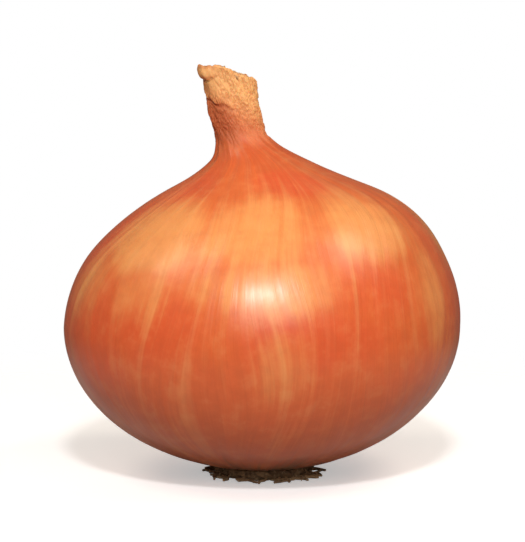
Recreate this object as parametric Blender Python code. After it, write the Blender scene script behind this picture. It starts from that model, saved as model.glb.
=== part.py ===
"""A whole dry onion standing upright on its root plate.

Two pieces: the bulb, whose papery skin runs up without a break into the dried neck, and the
corky root plate below it with the stubs of its dried roots. Metres, +Z up. The origin is the
middle of the flat spot that the onion rests on, and +X is the side that the shoulder swells to.
"""

import math

import bmesh
import bpy
from mathutils import Matrix, Vector
from mathutils.geometry import interpolate_bezier

MM = 0.001

# Driving dimensions of the bulb.
BULB_RADIUS = 42.5 * MM
EQUATOR_HEIGHT = 32.5 * MM
BOWL_DEPTH = 31.0 * MM
SHOULDER_RISE = 34.2 * MM
SHOULDER_END = 30.0 * MM  # height above the equator where the shoulder turns up into the neck
NECK_RADIUS = 5.5 * MM
NECK_MOUTH_RADIUS = 5.9 * MM
NECK_START = 42.0 * MM  # height above the equator where the neck has become a tube
NECK_TOP = 55.4 * MM
NECK_FLATNESS = 0.86  # depth of the neck's section over its width
NECK_CUT_SLOPE = 0.24  # how far the cut drops towards +X, per unit of width

# How far the middle of each level stands off the upright axis, as (height, shift along X).
LEAN = (
    (EQUATOR_HEIGHT, 0.0),
    (46.5 * MM, 0.8 * MM),
    (60.0 * MM, 2.5 * MM),
    (67.3 * MM, -0.4 * MM),
    (71.2 * MM, -3.4 * MM),
    (74.5 * MM, -5.1 * MM),
    (80.0 * MM, -6.2 * MM),
    (88.0 * MM, -7.4 * MM),
)

# Shallow swellings of the body's section, as (lobes round the bulb, share of the radius).
LOBES = ((2, 0.006), (4, 0.004), (6, 0.0025))

# The root plate and what is left of the roots.
PLATE_RADIUS = 9.6 * MM
PLATE_HEIGHT = 2.1 * MM
PLATE_EDGE = 0.5 * MM
PLATE_GAP = 0.3 * MM  # between the plate and the bulb that it carries
ROOT_COUNT = 11
ROOT_RADIUS = 0.62 * MM
ROOT_REACH = 6.6 * MM
ROOT_BURIED = 1.6 * MM  # how far a root starts inside the plate

# How finely the shapes are cut.
BULB_SIDES = 64
PLATE_SIDES = 24
ROOT_SIDES_QUARTER = 2
BOWL_STEPS = 11
SHOULDER_STEPS = 12
FLARE_STEPS = 8
NECK_STEPS = 4

SKIN_COLOUR = (0.80, 0.20, 0.06, 1.0)
CORK_COLOUR = (0.12, 0.055, 0.025, 1.0)


def clear_scene():
    """Removes every object of the startup scene."""
    for obj in list(bpy.data.objects):
        bpy.data.objects.remove(obj)


def principled(name, colour, roughness, metallic=0.0):
    """A material with a plain Principled BSDF."""
    material = bpy.data.materials.new(name)
    material.use_nodes = True
    shader = material.node_tree.nodes["Principled BSDF"]
    shader.inputs["Base Color"].default_value = colour
    shader.inputs["Roughness"].default_value = roughness
    shader.inputs["Metallic"].default_value = metallic
    return material


def add_object(name, bm, material):
    """An object in the scene with the mesh of bm, shaded smooth apart from its sharp edges."""
    mesh = bpy.data.meshes.new(name)
    bm.to_mesh(mesh)
    bm.free()
    mesh.shade_smooth()
    mesh.set_sharp_from_angle(angle=math.radians(40))
    mesh.materials.append(material)
    obj = bpy.data.objects.new(name, mesh)
    bpy.context.scene.collection.objects.link(obj)
    return obj


def ellipse_rings(start, end, rise, steps):
    """Points (radius, height) on the body's ellipse between two angles from its equator."""
    for step in range(steps):
        angle = start + (end - start) * step / steps
        yield BULB_RADIUS * math.cos(angle), EQUATOR_HEIGHT + rise * math.sin(angle)


def flare_rings():
    """Points (radius, height) on the curve that turns the shoulder up into the neck."""
    share = SHOULDER_END / SHOULDER_RISE
    start = Vector((BULB_RADIUS * math.sqrt(1 - share**2), EQUATOR_HEIGHT + SHOULDER_END))
    slope = -BULB_RADIUS / SHOULDER_RISE * share / math.sqrt(1 - share**2)
    end = Vector((NECK_RADIUS, EQUATOR_HEIGHT + NECK_START))
    climb = end.y - start.y
    leaving = start + Vector((slope, 1.0)) * climb * 0.30
    arriving = end - Vector((0.0, 1.0)) * climb * 0.38
    points = interpolate_bezier(start, leaving, arriving, end, FLARE_STEPS + 1)
    return [(point.x, point.y) for point in points[:-1]]


def bulb_profile():
    """The turned profile of the bulb, from the rim over the root plate up to the cut neck."""
    underside = PLATE_HEIGHT + PLATE_GAP
    underside_angle = -math.asin((EQUATOR_HEIGHT - underside) / BOWL_DEPTH)
    shoulder_angle = math.asin(SHOULDER_END / SHOULDER_RISE)
    rings = list(ellipse_rings(underside_angle, 0.0, BOWL_DEPTH, BOWL_STEPS))
    rings += ellipse_rings(0.0, shoulder_angle, SHOULDER_RISE, SHOULDER_STEPS)
    rings += flare_rings()
    for step in range(NECK_STEPS + 1):
        share = step / NECK_STEPS
        radius = NECK_RADIUS + (NECK_MOUTH_RADIUS - NECK_RADIUS) * share
        height = NECK_START + (NECK_TOP - NECK_START) * share
        rings.append((radius, EQUATOR_HEIGHT + height))
    return rings


def lean_at(height):
    """The sideways shift of the level at this height, on a smooth curve through LEAN."""
    if height <= LEAN[0][0]:
        return LEAN[0][1]
    for index in range(len(LEAN) - 1):
        low, high = LEAN[index], LEAN[index + 1]
        if height <= high[0]:
            break
    before, after = LEAN[max(index - 1, 0)], LEAN[min(index + 2, len(LEAN) - 1)]
    span = high[0] - low[0]
    slope_low = (high[1] - before[1]) / (high[0] - before[0]) * span
    slope_high = (after[1] - low[1]) / (after[0] - low[0]) * span
    t = min((height - low[0]) / span, 1.0)
    return (
        (2 * t**3 - 3 * t**2 + 1) * low[1]
        + (t**3 - 2 * t**2 + t) * slope_low
        + (3 * t**2 - 2 * t**3) * high[1]
        + (t**3 - t**2) * slope_high
    )


def smooth_step(low, high, value):
    """0 below low, 1 above high, and an S-shaped rise between them."""
    t = min(max((value - low) / (high - low), 0.0), 1.0)
    return t * t * (3 - 2 * t)


def grown_form(point):
    """A point of the turned bulb, moved to where the grown bulb's lobes and leaning neck put it."""
    turn = math.atan2(point.y, point.x)
    bodily = 1 - smooth_step(0.5, 1.0, (point.z - EQUATOR_HEIGHT) / NECK_START)
    necked = smooth_step(SHOULDER_END, NECK_START, point.z - EQUATOR_HEIGHT)
    swelling = 1 + bodily * sum(share * math.sin(lobes * turn) for lobes, share in LOBES)
    depth = 1 + (NECK_FLATNESS - 1) * necked
    tilted = smooth_step(NECK_START, NECK_TOP, point.z - EQUATOR_HEIGHT)
    drop = NECK_CUT_SLOPE * (point.x + NECK_MOUTH_RADIUS) * tilted
    return Vector(
        (
            point.x * swelling + lean_at(point.z),
            point.y * swelling * depth,
            point.z - drop,
        )
    )


def make_bulb(material):
    """The bulb and its neck as one turned solid, then grown out of true."""
    bm = bmesh.new()
    profile = [bm.verts.new((radius, 0.0, height)) for radius, height in bulb_profile()]
    edges = [bm.edges.new(pair) for pair in zip(profile, profile[1:])]
    bmesh.ops.spin(
        bm,
        geom=profile + edges,
        axis=(0, 0, 1),
        cent=(0, 0, 0),
        angle=2 * math.pi,
        steps=BULB_SIDES,
        use_merge=True,
    )
    bmesh.ops.holes_fill(bm, edges=bm.edges, sides=BULB_SIDES)
    for vert in bm.verts:
        vert.co = grown_form(vert.co)
    bmesh.ops.recalc_face_normals(bm, faces=bm.faces)
    return add_object("bulb", bm, material)


def root_path(index):
    """The middle line of one dried root, from inside the plate out to its tip, near the ground."""
    turn = 2 * math.pi * (index + 0.32 * math.sin(2.3 * index)) / ROOT_COUNT
    reach = ROOT_REACH * (0.74 + 0.26 * math.sin(1.7 * index + 0.6))
    bend = 0.30 * math.sin(3.1 * index + 1.0)
    height = PLATE_HEIGHT * (0.46 + 0.08 * math.sin(2.9 * index))
    for share, lift in ((0.0, 0.0), (0.35, 0.10), (0.7, 0.0), (1.0, -0.16)):
        radius = PLATE_RADIUS - ROOT_BURIED + (ROOT_BURIED + reach) * share
        angle = turn + bend * share**2
        yield Vector(
            (
                radius * math.cos(angle),
                radius * math.sin(angle),
                height + lift * PLATE_HEIGHT,
            )
        )


def make_root(index):
    """One root as a tapering curve with round sides and closed ends."""
    curve = bpy.data.curves.new(f"root_{index}", "CURVE")
    curve.dimensions = "3D"
    curve.bevel_depth = ROOT_RADIUS
    curve.bevel_resolution = ROOT_SIDES_QUARTER - 1
    curve.resolution_u = 3
    curve.use_fill_caps = True
    path = list(root_path(index))
    spline = curve.splines.new("BEZIER")
    spline.bezier_points.add(len(path) - 1)
    for step, (knot, place) in enumerate(zip(spline.bezier_points, path)):
        knot.co = place
        knot.handle_left_type = knot.handle_right_type = "AUTO"
        knot.radius = 1.0 - 0.42 * step / (len(path) - 1)
    return curve


def roots_mesh():
    """All the roots in one mesh, each a closed tube of its own."""
    bm = bmesh.new()
    for index in range(ROOT_COUNT):
        holder = bpy.data.objects.new("root_holder", make_root(index))
        bpy.context.scene.collection.objects.link(holder)
        graph = bpy.context.evaluated_depsgraph_get()
        mesh = bpy.data.meshes.new_from_object(holder.evaluated_get(graph))
        bm.from_mesh(mesh)
        bpy.data.objects.remove(holder)
        bpy.data.meshes.remove(mesh)
    bmesh.ops.remove_doubles(bm, verts=bm.verts, dist=1e-6)
    bmesh.ops.recalc_face_normals(bm, faces=bm.faces)
    return bm


def make_root_plate(material):
    """The corky plate, flat below, with the dried roots joined to its rim."""
    bm = bmesh.new()
    bmesh.ops.create_cone(
        bm,
        cap_ends=True,
        segments=PLATE_SIDES,
        radius1=PLATE_RADIUS,
        radius2=PLATE_RADIUS,
        depth=PLATE_HEIGHT,
        matrix=Matrix.Translation((0.0, 0.0, PLATE_HEIGHT / 2)),
    )
    rims = [edge for edge in bm.edges if edge.calc_face_angle(0.0) > math.radians(60)]
    bmesh.ops.bevel(bm, geom=rims, offset=PLATE_EDGE, segments=2, profile=0.5, affect="EDGES")
    plate = add_object("root_plate", bm, material)

    roots = add_object("roots_to_join", roots_mesh(), material)
    roots.hide_render = True
    roots.display_type = "WIRE"
    join = plate.modifiers.new("join_roots", "BOOLEAN")
    join.operation = "UNION"
    join.solver = "EXACT"
    join.object = roots
    return plate


def main():
    """Builds the onion: the bulb above its root plate, a narrow gap apart."""
    clear_scene()
    make_bulb(principled("papery_skin", SKIN_COLOUR, roughness=0.38))
    make_root_plate(principled("root_cork", CORK_COLOUR, roughness=0.9))


main()
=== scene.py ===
"""The looks of a whole dry onion: its papery skin, cut neck, corky root plate and dried roots.

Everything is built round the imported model, in metres, +Z up, with the onion standing on z = 0 and
+X towards its fuller shoulder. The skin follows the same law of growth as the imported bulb.
"""

import sys
import logging
import math
from dataclasses import dataclass, field
from enum import Enum
from typing import Any, Iterable, Sequence

import bmesh
import bpy
import numpy as np
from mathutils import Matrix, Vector


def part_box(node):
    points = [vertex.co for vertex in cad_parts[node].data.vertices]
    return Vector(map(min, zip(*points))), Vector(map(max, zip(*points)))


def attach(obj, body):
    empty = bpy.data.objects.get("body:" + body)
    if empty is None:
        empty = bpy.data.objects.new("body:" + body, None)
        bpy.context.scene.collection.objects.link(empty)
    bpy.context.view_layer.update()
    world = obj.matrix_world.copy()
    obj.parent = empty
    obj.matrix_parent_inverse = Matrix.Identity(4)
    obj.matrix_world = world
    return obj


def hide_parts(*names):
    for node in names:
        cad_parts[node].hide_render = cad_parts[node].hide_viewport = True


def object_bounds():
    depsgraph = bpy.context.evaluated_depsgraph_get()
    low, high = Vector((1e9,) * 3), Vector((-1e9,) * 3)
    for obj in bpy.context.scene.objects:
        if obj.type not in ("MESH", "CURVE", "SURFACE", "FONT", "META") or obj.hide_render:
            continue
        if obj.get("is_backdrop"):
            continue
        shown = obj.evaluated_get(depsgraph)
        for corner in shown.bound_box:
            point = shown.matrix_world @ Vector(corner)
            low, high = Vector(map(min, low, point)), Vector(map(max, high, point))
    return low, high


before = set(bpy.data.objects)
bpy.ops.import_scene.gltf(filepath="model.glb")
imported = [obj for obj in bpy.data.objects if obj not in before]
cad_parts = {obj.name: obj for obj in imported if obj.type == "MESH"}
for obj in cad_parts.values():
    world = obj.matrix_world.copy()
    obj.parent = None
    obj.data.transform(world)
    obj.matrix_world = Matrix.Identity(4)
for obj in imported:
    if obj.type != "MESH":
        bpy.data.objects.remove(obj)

MM = 0.001
BODY = "root"

LOG = logging.getLogger("onion")

Colour = tuple[float, float, float]


# ---------------------------------------------------------------------------
# Helpers for node trees
# ---------------------------------------------------------------------------


class Wiring:
    """A node tree that is being drawn: adds nodes, sets their sockets and joins them."""

    def __init__(self, tree: bpy.types.NodeTree) -> None:
        """Starts on a tree.

        Args:
            tree: The tree that the nodes go into.
        """
        self.tree = tree

    def node(self, kind: str, sockets: dict[Any, Any] | None = None, **settings: Any) -> bpy.types.Node:
        """Adds a node.

        Args:
            kind: The node's type.
            sockets: Values or output sockets for its inputs, by name or number.
            settings: The node's own properties.

        Returns:
            The new node.
        """
        made = self.tree.nodes.new(kind)
        for name, value in settings.items():
            setattr(made, name, value)
        for key, value in (sockets or {}).items():
            self.feed(made.inputs[key], value)
        return made

    def feed(self, socket: bpy.types.NodeSocket, value: Any) -> None:
        """Joins an output to an input socket, or sets the socket's own value.

        Args:
            socket: The input socket.
            value: An output socket, or a plain value.
        """
        if isinstance(value, bpy.types.NodeSocket):
            self.tree.links.new(value, socket)
        elif isinstance(value, tuple) and len(value) == 3 and socket.type == "RGBA":
            socket.default_value = (*value, 1.0)
        else:
            socket.default_value = value

    def math(self, operation: str, *terms: Any, clamp: bool = False) -> bpy.types.NodeSocket:
        """Adds a Math node.

        Args:
            operation: What it works out.
            terms: Its terms, as sockets or numbers.
            clamp: Whether the result is held between 0 and 1.

        Returns:
            The result.
        """
        made = self.node("ShaderNodeMath", dict(enumerate(terms)), operation=operation)
        made.use_clamp = clamp
        return made.outputs[0]

    def vector(self, operation: str, *terms: Any) -> bpy.types.NodeSocket:
        """Adds a Vector Math node and returns its vector."""
        made = self.node("ShaderNodeVectorMath", dict(enumerate(terms)), operation=operation)
        return made.outputs[0]

    def noise(
        self, place: Any, scale: Any, detail: float = 2.0, roughness: float = 0.5
    ) -> bpy.types.NodeSocket:
        """Adds a 3D Noise Texture and returns its value, about 0.2 to 0.8."""
        sockets = {"Vector": place, "Scale": scale, "Detail": detail, "Roughness": roughness}
        return self.node("ShaderNodeTexNoise", sockets).outputs[0]

    def remap(
        self, value: Any, low: Any, high: Any, to_low: Any = 0.0, to_high: Any = 1.0
    ) -> bpy.types.NodeSocket:
        """Adds a smooth, clamped Map Range node.

        Args:
            value: What is mapped.
            low: The value that gives to_low.
            high: The value that gives to_high.
            to_low: The result at low.
            to_high: The result at high.

        Returns:
            The result.
        """
        names = ("Value", "From Min", "From Max", "To Min", "To Max")
        sockets = dict(zip(names, (value, low, high, to_low, to_high)))
        made = self.node("ShaderNodeMapRange", sockets, interpolation_type="SMOOTHSTEP")
        return made.outputs[0]

    def ridge(self, value: Any, width: Any) -> bpy.types.NodeSocket:
        """Turns a noise into thin lines where it crosses one half.

        Args:
            value: The noise's value.
            width: How far from one half the line fades out.

        Returns:
            1 on the line, 0 beside it.
        """
        away = self.math("ABSOLUTE", self.math("SUBTRACT", value, 0.5))
        return self.remap(away, 0.0, width, 1.0, 0.0)

    def mix(self, share: Any, first: Any, second: Any, blend: str = "MIX") -> bpy.types.NodeSocket:
        """Adds a colour Mix node.

        Args:
            share: How much of the second colour shows.
            first: The first colour.
            second: The second colour.
            blend: The way of blending.

        Returns:
            The mixed colour.
        """
        made = self.node("ShaderNodeMix", data_type="RGBA", blend_type=blend)
        # The node has sockets for every type of value. Inputs 6 and 7 and output 2 are for colours.
        for index, value in ((0, share), (6, first), (7, second)):
            self.feed(made.inputs[index], value)
        return made.outputs[2]

    def attribute(self, name: str) -> bpy.types.Node:
        """Adds a shader node that reads one of the mesh's own attributes."""
        return self.node("ShaderNodeAttribute", attribute_name=name)

    def read(self, name: str, kind: str = "FLOAT") -> bpy.types.NodeSocket:
        """Reads one of the mesh's own attributes in a Geometry Nodes tree."""
        return self.node("GeometryNodeInputNamedAttribute", {"Name": name}, data_type=kind).outputs[0]

    def store(self, geometry: Any, name: str, value: Any) -> bpy.types.NodeSocket:
        """Stores a number at each point of a geometry, as an attribute.

        Args:
            geometry: The geometry, as a socket.
            name: The attribute's name.
            value: The number, as a socket.

        Returns:
            The geometry with the attribute.
        """
        sockets = {"Geometry": geometry, "Name": name, "Value": value}
        kind = "GeometryNodeStoreNamedAttribute"
        return self.node(kind, sockets, data_type="FLOAT", domain="POINT").outputs[0]

    def dress(self, geometry: Any, finish: Any, result: bpy.types.NodeSocket) -> None:
        """Ends a Geometry Nodes tree: makes its instances real and gives them their finish.

        Args:
            geometry: What the tree made.
            finish: The material.
            result: The tree's output socket.
        """
        real = self.node("GeometryNodeRealizeInstances", {0: geometry}).outputs[0]
        dressed = self.node("GeometryNodeSetMaterial", {"Geometry": real, "Material": finish})
        self.feed(result, dressed.outputs[0])

    def ramp(self, place: Any, stops: Iterable[tuple[float, Colour]]) -> bpy.types.NodeSocket:
        """Adds a colour ramp.

        Args:
            place: Where on the ramp to read, 0 to 1.
            stops: Places and colours, in order.

        Returns:
            The colour.
        """
        made = self.node("ShaderNodeValToRGB", {0: place})
        elements = made.color_ramp.elements
        for index, (at, colour) in enumerate(stops):
            stop = elements[index] if index < 2 else elements.new(at)
            stop.position = at
            stop.color = (*colour, 1.0)
        return made.outputs[0]


def new_group(
    name: str, kind: str, takes: dict[str, str], gives: dict[str, str]
) -> tuple[Wiring, Any, Any]:
    """Starts a node group with named sockets.

    Args:
        name: The group's name.
        kind: The tree's type.
        takes: Input names with their socket types.
        gives: Output names with their socket types.

    Returns:
        The wiring, the group's inputs and its output node.
    """
    tree = bpy.data.node_groups.new(name, kind)
    for label, socket in takes.items():
        tree.interface.new_socket(label, in_out="INPUT", socket_type=socket)
    for label, socket in gives.items():
        tree.interface.new_socket(label, in_out="OUTPUT", socket_type=socket)
    wiring = Wiring(tree)
    start = wiring.node("NodeGroupInput")
    end = wiring.node("NodeGroupOutput")
    return wiring, start.outputs, end


FLOAT = "NodeSocketFloat"
VECTOR = "NodeSocketVector"
GEOMETRY = "NodeSocketGeometry"
MATERIAL = "NodeSocketMaterial"
WHOLE = "NodeSocketInt"


# ---------------------------------------------------------------------------
# Shared effects, each a shader node group
# ---------------------------------------------------------------------------


class Effects:
    """The shader node groups that more than one finish uses, each built once."""

    def __init__(self) -> None:
        """Builds every group."""
        self.fibres = self._fibres()
        self.mottle = self._mottle()

    @staticmethod
    def _fibres() -> bpy.types.NodeTree:
        """Fibres that run along a grown surface: broad streaks, thin veins and a height.

        Returns:
            The group, with Streaks, Veins and Height outputs.
        """
        takes = {"Grain": VECTOR, "Around": FLOAT, "Along": FLOAT, "Vein Width": FLOAT}
        gives = {"Streaks": FLOAT, "Veins": FLOAT, "Height": FLOAT}
        wiring, given, end = new_group("grown_fibres", "ShaderNodeTree", takes, gives)
        counts = {0: given["Around"], 1: given["Around"], 2: given["Along"]}
        stretch = wiring.node("ShaderNodeCombineXYZ", counts)
        place = wiring.vector("MULTIPLY", given["Grain"], stretch.outputs[0])
        streaks = wiring.noise(place, 1.0, detail=4.0, roughness=0.62)
        finer = wiring.vector("MULTIPLY_ADD", place, (2.6, 2.6, 1.3), (7.1, 3.7, 1.9))
        veins = wiring.ridge(wiring.noise(finer, 1.0, detail=1.5), given["Vein Width"])
        finest = wiring.vector("MULTIPLY", place, (6.0, 6.0, 1.6))
        hair = wiring.noise(finest, 1.0, detail=3.0, roughness=0.6)
        height = wiring.math("MULTIPLY_ADD", hair, 0.5, wiring.math("MULTIPLY", veins, 0.35))
        wiring.feed(end.inputs["Streaks"], wiring.remap(streaks, 0.3, 0.7))
        wiring.feed(end.inputs["Veins"], veins)
        wiring.feed(end.inputs["Height"], wiring.math("MULTIPLY_ADD", streaks, 0.6, height))
        return wiring.tree

    @staticmethod
    def _mottle() -> bpy.types.NodeTree:
        """Soft blotches with small dark specks, in the piece's own space.

        Returns:
            The group, with Blotches and Specks outputs.
        """
        takes = {"Place": VECTOR, "Blotch Size": FLOAT, "Speck Size": FLOAT, "Specks Shown": FLOAT}
        gives = {"Blotches": FLOAT, "Specks": FLOAT}
        wiring, given, end = new_group("mottle", "ShaderNodeTree", takes, gives)
        broad = wiring.noise(given["Place"], wiring.math("DIVIDE", 1.0, given["Blotch Size"]), 3.0, 0.55)
        cells = wiring.node(
            "ShaderNodeTexVoronoi",
            {"Vector": given["Place"], "Scale": wiring.math("DIVIDE", 1.0, given["Speck Size"])},
        )
        lot = wiring.node("ShaderNodeSeparateColor", {0: cells.outputs["Color"]}).outputs[0]
        fewest = wiring.math("SUBTRACT", 1.0, given["Specks Shown"])
        size = wiring.math("MULTIPLY", wiring.remap(lot, fewest, 1.0), 0.32)
        size = wiring.math("MAXIMUM", size, 0.001)
        specks = wiring.remap(cells.outputs["Distance"], 0.0, size, 1.0, 0.0)
        wiring.feed(end.inputs["Blotches"], wiring.remap(broad, 0.3, 0.7))
        wiring.feed(end.inputs["Specks"], specks)
        return wiring.tree


class Finish:
    """What all finishes share: a material with a Principled BSDF, and the wiring of its tree."""

    def start(self, name: str) -> tuple[bpy.types.Material, Wiring, bpy.types.Node]:
        """Makes an empty material.

        Args:
            name: The material's name.

        Returns:
            The material, its wiring and its shader.
        """
        material = bpy.data.materials.new(name)
        material.use_nodes = True
        wiring = Wiring(material.node_tree)
        shader = material.node_tree.nodes["Principled BSDF"]
        return material, wiring, shader

    def place_group(self, wiring: Wiring, group: bpy.types.NodeTree, **sockets: Any) -> Any:
        """Places a shared effect in a material.

        Args:
            wiring: The material's wiring.
            group: The effect.
            sockets: Values for its inputs, with underscores for spaces.

        Returns:
            The effect's outputs.
        """
        made = wiring.node("ShaderNodeGroup", node_tree=group)
        for name, value in sockets.items():
            wiring.feed(made.inputs[name.replace("_", " ").title()], value)
        return made.outputs


@dataclass(frozen=True)
class PaperySkinFinish(Finish):
    """Dry onion skin: copper zones, with amber patches partly of painted highlight and coral patches
    partly of painted shade, running into each other in tongues along the veins.
    """

    root_end: Colour = (0.30, 0.110, 0.045)
    underside: Colour = (0.66, 0.130, 0.036)
    belly: Colour = (0.78, 0.138, 0.036)
    waist: Colour = (0.79, 0.165, 0.042)
    upper: Colour = (0.76, 0.165, 0.041)
    shoulder: Colour = (0.74, 0.145, 0.037)
    collar: Colour = (0.62, 0.112, 0.033)
    # Amber: the skin's own tone, also painted highlight on the shoulders.
    amber_and_highlight: Colour = (0.91, 0.370, 0.112)
    # Coral: the skin's redder tone, also painted shade.
    coral_and_shade: Colour = (0.78, 0.112, 0.034)
    straw: Colour = (0.98, 0.530, 0.205)
    salmon: Colour = (0.72, 0.205, 0.078)
    # Russet: the torn pith's dark fibres, and painted shade on the neck's darker side.
    russet_and_shade: Colour = (0.42, 0.078, 0.024)
    # Painted shade in the neck's crinkle folds.
    fold_shade: Colour = (0.60, 0.170, 0.060)
    vein: Colour = (0.42, 0.075, 0.024)
    pale: Colour = (0.95, 0.480, 0.180)
    pith: Colour = (0.62, 0.360, 0.160)
    roughness: float = 0.36
    gloss: float = 0.36
    coat: float = 0.62
    coat_roughness: float = 0.28
    coat_ior: float = 1.38
    see_through: float = 0.10

    def make(self, effects: Effects) -> bpy.types.Material:
        """Builds the material.

        Args:
            effects: The shared node groups.

        Returns:
            The finished material.
        """
        material, wiring, shader = self.start("papery_skin")
        grain = wiring.attribute("grain").outputs["Vector"]
        along = wiring.node("ShaderNodeSeparateXYZ", {0: grain}).outputs[2]
        place = wiring.node("ShaderNodeTexCoord").outputs["Object"]
        broad = self.place_group(
            wiring, effects.fibres, grain=grain, around=8.0, along=1.2, vein_width=0.05
        )
        fine = self.place_group(
            wiring, effects.fibres, grain=grain, around=26.0, along=3.2, vein_width=0.055
        )
        spots = self.place_group(
            wiring, effects.mottle, place=place, blotch_size=0.019, speck_size=0.0042, specks_shown=0.16
        )
        colour = self._zones(wiring, along, broad["Streaks"], fine["Streaks"])
        colour = self._patches(wiring, colour, broad["Streaks"], fine["Streaks"], spots["Blotches"])
        colour = self._markings(wiring, colour, broad, fine, spots)
        colour = self._neck(wiring, colour, grain, fine)
        wiring.feed(shader.inputs["Base Color"], colour)
        rough = wiring.math("MULTIPLY_ADD", fine["Streaks"], 0.10, self.roughness - 0.05)
        dry = wiring.attribute("dry").outputs["Fac"]
        wiring.feed(shader.inputs["Roughness"], wiring.math("MULTIPLY_ADD", dry, 0.26, rough))
        polish = wiring.remap(along, 0.70, 0.86, self.coat, self.coat * 0.25)
        wiring.feed(shader.inputs["Coat Weight"], wiring.remap(dry, 0.0, 0.8, polish, 0.0))
        shader.inputs["Coat Roughness"].default_value = self.coat_roughness
        shader.inputs["Coat IOR"].default_value = self.coat_ior
        shader.inputs["Specular IOR Level"].default_value = self.gloss
        shader.inputs["Subsurface Weight"].default_value = self.see_through
        shader.inputs["Subsurface Radius"].default_value = (1.0, 0.35, 0.12)
        shader.inputs["Subsurface Scale"].default_value = 2.0 * MM
        height = wiring.math("MULTIPLY_ADD", broad["Height"], 0.35, fine["Height"])
        height = wiring.math("MULTIPLY", height, wiring.remap(along, 0.68, 0.86, 1.0, 0.3))
        bump = wiring.node("ShaderNodeBump", {"Height": height, "Strength": 0.16, "Distance": 0.22 * MM})
        wiring.feed(shader.inputs["Normal"], bump.outputs[0])
        return material

    def _zones(self, wiring: Wiring, along: Any, broad: Any, fine: Any) -> Any:
        """The skin's colour from root to neck, its borders drawn out along the fibres.

        Args:
            wiring: The material's wiring.
            along: The way up the skin, 0 to 1.
            broad: Broad streaks that pull the borders up and down.
            fine: Fine streaks that fray them.

        Returns:
            The colour.
        """
        tongues = wiring.math("MULTIPLY_ADD", wiring.math("SUBTRACT", broad, 0.5), 0.10, along)
        frayed = wiring.math("MULTIPLY_ADD", wiring.math("SUBTRACT", fine, 0.5), 0.05, tongues)
        stops = (
            (0.00, self.root_end),
            (0.09, self.underside),
            (0.32, self.belly),
            (0.46, self.waist),
            (0.60, self.upper),
            (0.72, self.shoulder),
            (0.84, self.collar),
        )
        return wiring.ramp(frayed, stops)

    def _patches(self, wiring: Wiring, colour: Any, broad: Any, fine: Any, blotches: Any) -> Any:
        """Amber patches that are partly painted highlight and coral patches that are partly painted shade,
        their edges drawn out in tongues along the fibres.

        Args:
            wiring: The material's wiring.
            colour: The colour below them.
            broad: Broad streaks that pull the edges up and down.
            fine: Fine streaks that fray them.
            blotches: Soft patches that move them.

        Returns:
            The colour.
        """
        pull = wiring.math("MULTIPLY", wiring.math("SUBTRACT", broad, 0.5), 0.30)
        pull = wiring.math("MULTIPLY_ADD", wiring.math("SUBTRACT", fine, 0.5), 0.07, pull)
        pull = wiring.math("MULTIPLY_ADD", wiring.math("SUBTRACT", blotches, 0.5), 0.26, pull)
        # Coral lays painted shade and amber lays painted highlight, over the skin's own tones.
        for name, shade, most in (("coral_and_shade", self.coral_and_shade, 0.80), ("amber_and_highlight", self.amber_and_highlight, 0.85)):
            patch = wiring.math("ADD", wiring.attribute(name).outputs["Fac"], pull)
            colour = wiring.mix(wiring.remap(patch, 0.16, 0.88, 0.0, most), colour, shade)
        return colour

    def _markings(self, wiring: Wiring, colour: Any, broad: Any, fine: Any, spots: Any) -> Any:
        """Veins, pale wisps, cloudy stains and specks over the zones.

        Args:
            wiring: The material's wiring.
            colour: The colour below them.
            broad: The broad fibres.
            fine: The fine fibres.
            spots: The mottle.

        Returns:
            The colour.
        """
        colour = wiring.mix(wiring.math("MULTIPLY", broad["Veins"], 0.05), colour, self.vein)
        colour = wiring.mix(wiring.math("MULTIPLY", fine["Veins"], 0.045), colour, self.vein)
        wisps = wiring.math("MULTIPLY", wiring.remap(broad["Streaks"], 0.5, 1.0), 0.16)
        wisps = wiring.math("MULTIPLY_ADD", wiring.remap(fine["Streaks"], 0.6, 1.0), 0.06, wisps)
        colour = wiring.mix(wisps, colour, self.pale)
        place = wiring.node("ShaderNodeTexCoord").outputs["Object"]
        clouds = wiring.noise(place, 260.0, detail=4.0, roughness=0.6)
        colour = wiring.mix(wiring.remap(clouds, 0.46, 0.70, 0.0, 0.13), colour, self.vein)
        colour = wiring.mix(wiring.remap(clouds, 0.52, 0.30, 0.0, 0.12), colour, self.pale)
        return wiring.mix(wiring.math("MULTIPLY", spots["Specks"], 0.10), colour, self.vein)

    def _neck(self, wiring: Wiring, colour: Any, grain: Any, fine: Any) -> Any:
        """The dried neck: straw above, paler towards +X as painted light, russet painted shade on its
        darker side, painted shade in its folds, and pith where it was cut.

        Args:
            wiring: The material's wiring.
            colour: The colour below the neck.
            grain: The direction along the fibres.
            fine: The fine fibres.

        Returns:
            The colour.
        """
        dry = wiring.attribute("dry").outputs["Fac"]
        folds = wiring.attribute("folds").outputs["Fac"]
        russet_and_shade = wiring.attribute("russet_and_shade").outputs["Fac"]
        cut = wiring.attribute("cut").outputs["Fac"]
        straw_and_lit = wiring.attribute("straw_and_lit").outputs["Fac"]
        # Salmon below and straw above, paler towards +X as painted light.
        straw = wiring.mix(straw_and_lit, self.salmon, self.straw)
        straw = wiring.mix(wiring.math("MULTIPLY", fine["Streaks"], 0.16), straw, self.shoulder)
        # Painted shade on the neck's darker side and under its rolled rim.
        straw = wiring.mix(wiring.math("MULTIPLY", russet_and_shade, 0.9, clamp=True), straw, self.russet_and_shade)
        # Painted shade in the crinkle folds.
        straw = wiring.mix(wiring.math("MULTIPLY", folds, 0.32, clamp=True), straw, self.fold_shade)
        colour = wiring.mix(dry, colour, straw)
        torn = wiring.noise(wiring.vector("MULTIPLY", grain, (40.0, 40.0, 60.0)), 1.0, detail=3.0)
        pith = wiring.mix(wiring.remap(torn, 0.35, 0.65, 0.1, 0.9), self.pith, self.russet_and_shade)
        return wiring.mix(cut, colour, pith)


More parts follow.
